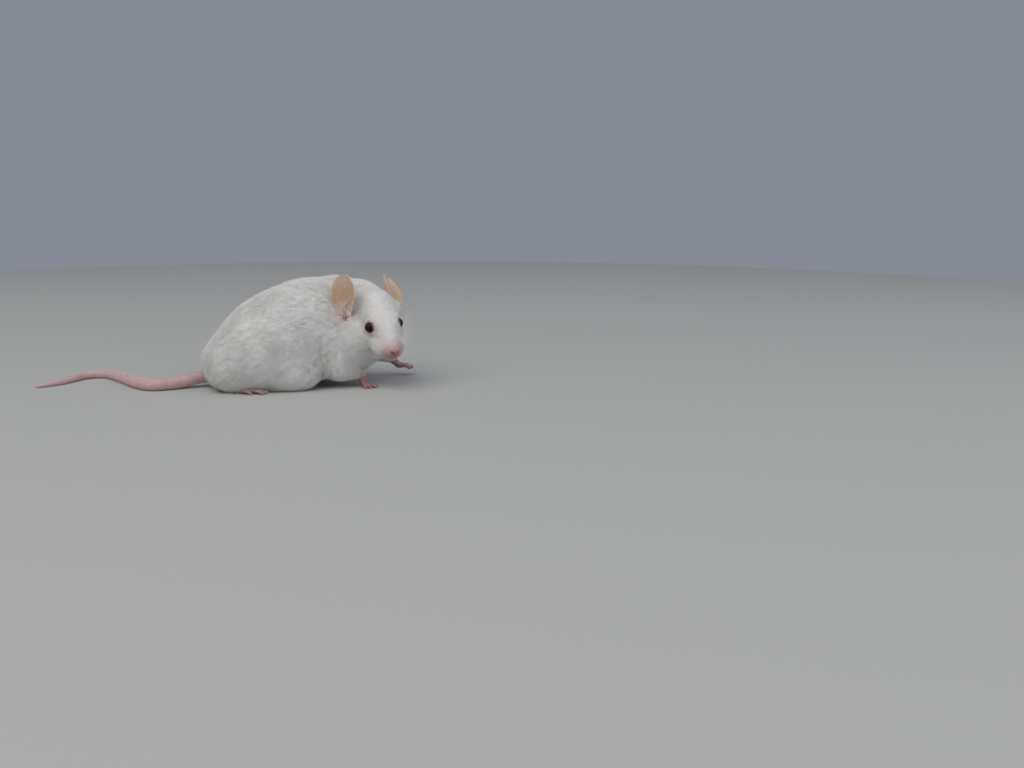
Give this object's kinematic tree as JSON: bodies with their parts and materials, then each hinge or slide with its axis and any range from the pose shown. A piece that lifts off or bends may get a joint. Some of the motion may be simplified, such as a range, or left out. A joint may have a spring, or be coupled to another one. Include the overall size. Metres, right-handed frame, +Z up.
{
  "type": "white pet mouse",
  "caption": "White pet mouse crouching on the floor, its head turned to its right and its bare tail laid out behind.",
  "frame": {"origin": "on the floor, in the middle of the flat that the belly rests on", "axes": "+X along the trunk towards the shoulders, +Y to the animal's left, +Z up"},
  "size_m": [0.1233, 0.048, 0.0371],
  "materials": {
    "white_coat": "short soft white fur that lies close to the body",
    "bare_pink_skin": "thin bare skin, pink, matt to satin",
    "ear_skin": "very thin skin with fine down that lets light through",
    "ruby_eye": "wet, nearly black dark red"
  },
  "bodies": {
    "root": {"trunk": "white_coat", "neck": "white_coat", "head": "white_coat", "foreleg_left": "white_coat", "foreleg_right": "white_coat", "thigh_left": "white_coat", "thigh_right": "white_coat", "nose": "bare_pink_skin", "forepaw_left": "bare_pink_skin", "forepaw_right": "bare_pink_skin", "hind_foot_left": "bare_pink_skin", "hind_foot_right": "bare_pink_skin", "tail_1": "bare_pink_skin", "tail_2": "bare_pink_skin", "tail_3": "bare_pink_skin", "tail_4": "bare_pink_skin", "ear_left": "ear_skin", "ear_right": "ear_skin", "eye_left": "ruby_eye", "eye_right": "ruby_eye"}
  },
  "joints": []
}
